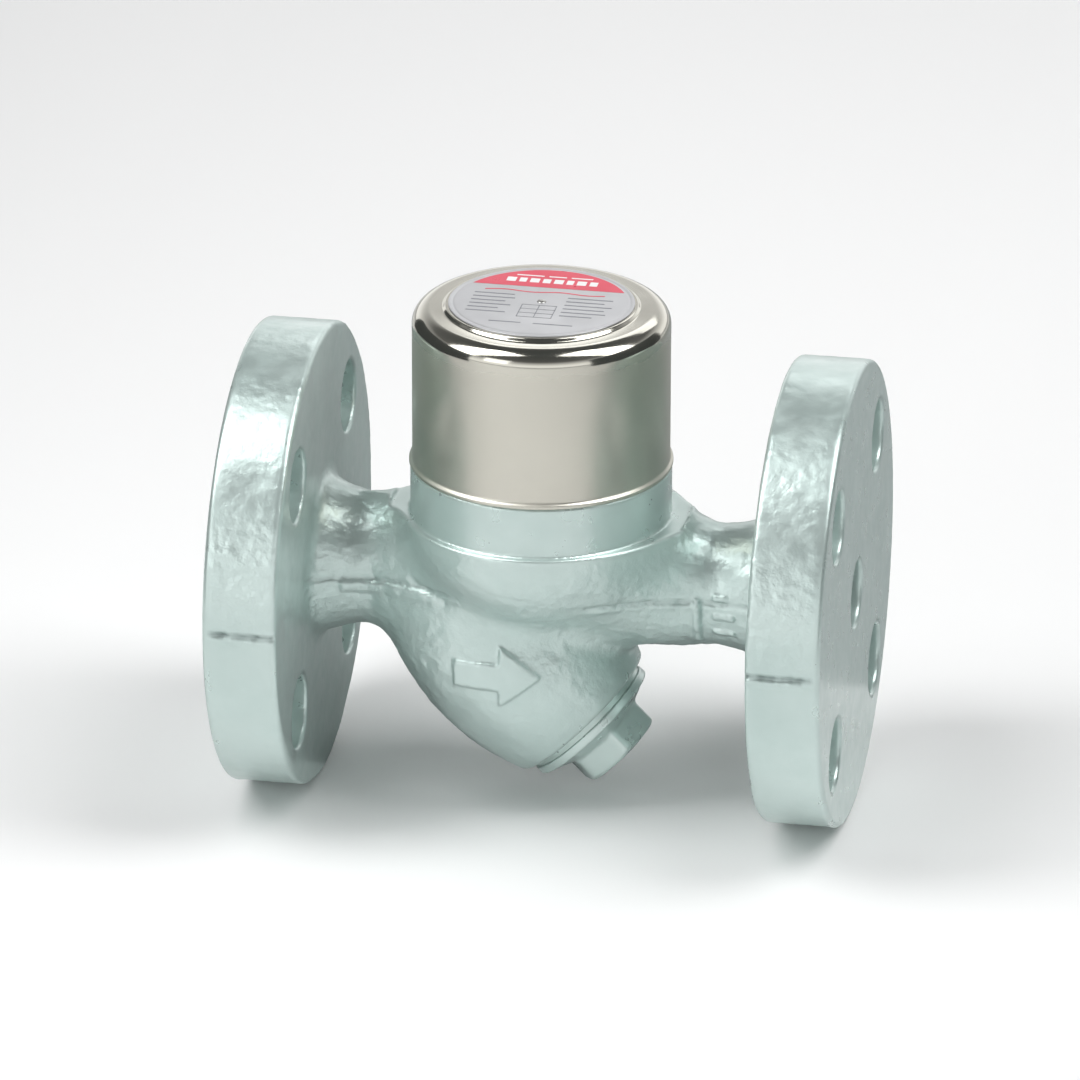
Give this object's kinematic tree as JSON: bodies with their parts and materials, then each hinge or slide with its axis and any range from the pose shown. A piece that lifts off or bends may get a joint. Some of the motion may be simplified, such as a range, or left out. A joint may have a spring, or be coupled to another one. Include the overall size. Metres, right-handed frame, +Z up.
{
  "type": "steam trap",
  "caption": "Flanged thermodynamic disc steam trap with a bright outer cap over its screwed valve cover and a built-in inclined strainer with hexagon plug.",
  "frame": {"origin": "centre of the inlet flange's mating face, on the pipe axis", "axes": "+X along the pipe from inlet to outlet, +Z up along the outer cap's axis, the raised flow arrow on the -Y side"},
  "size_m": [0.125, 0.095, 0.1064],
  "materials": {
    "casting_paint": "gloss silver-green paint over rough cast iron",
    "plug_paint": "gloss silver-green paint over machined steel",
    "plug_gasket_paint": "soft iron washer, painted over",
    "satin_nickel": "satin nickel plate with fine circular polish",
    "printed_plate": "satin plate with a red printed segment and thin rules",
    "rivet_metal": "satin",
    "machined_steel": "turned steel, light oil",
    "soft_gasket": "matt soft metal",
    "ground_steel": "hardened and lapped",
    "bimetal": "rolled bimetal strip",
    "screen_steel": "perforated stainless sheet"
  },
  "bodies": {
    "body": {"body_casting": "casting_paint", "valve_seat": "ground_steel", "inner_seat_gasket": "soft_gasket", "outer_seat_gasket": "soft_gasket"},
    "disc": {"valve_disc": "ground_steel"},
    "vent_ring": {"air_vent_ring": "bimetal"},
    "cover_washer": {"cover_gasket": "soft_gasket"},
    "cover": {"valve_cover": "machined_steel"},
    "cap": {"outer_cap": "satin_nickel", "nameplate": "printed_plate", "nameplate_rivet": "rivet_metal"},
    "plug_washer": {"plug_gasket": "plug_gasket_paint"},
    "plug": {"strainer_plug": "plug_paint"},
    "screen": {"strainer_screen": "screen_steel"}
  },
  "joints": [
    {"name": "disc_lift", "type": "slide", "parent": "body", "child": "disc", "axis": [0, 0, 1], "range_m": [0, 0.0018]},
    {"name": "vent_ring_rise", "type": "slide", "parent": "body", "child": "vent_ring", "axis": [0, 0, 1], "range_m": [0, 0.0016]},
    {"name": "cover_turn", "type": "hinge", "parent": "body", "child": "cover_washer", "pos_m": [0.06, 0, 0.0365], "axis": [0, 0, 1], "range_deg": [0, 1800]},
    {"name": "cover_rise", "type": "slide", "parent": "cover_washer", "child": "cover", "axis": [0, 0, 1], "range_m": [0, 0.00751]},
    {"name": "cap_pull", "type": "slide", "parent": "cover", "child": "cap", "axis": [0, 0, 1], "range_m": [0, 0.045]},
    {"name": "plug_turn", "type": "hinge", "parent": "body", "child": "plug_washer", "pos_m": [0.038, 0, 0], "axis": [0.7071, 0, -0.7071], "range_deg": [0, 2160]},
    {"name": "plug_travel", "type": "slide", "parent": "plug_washer", "child": "plug", "axis": [0.7071, 0, -0.7071], "range_m": [0, 0.00901]},
    {"name": "screen_travel", "type": "slide", "parent": "body", "child": "screen", "axis": [0.7071, 0, -0.7071], "range_m": [0, 0.00901]}
  ],
  "couplings": [
    {"joint": "vent_ring_rise", "follows": "disc_lift", "ratio": 0.8888},
    {"joint": "cover_rise", "follows": "cover_turn", "m_per_rad": 0.00023873},
    {"joint": "plug_travel", "follows": "plug_turn", "m_per_rad": 0.00023873},
    {"joint": "screen_travel", "follows": "plug_turn", "m_per_rad": 0.00023873}
  ]
}
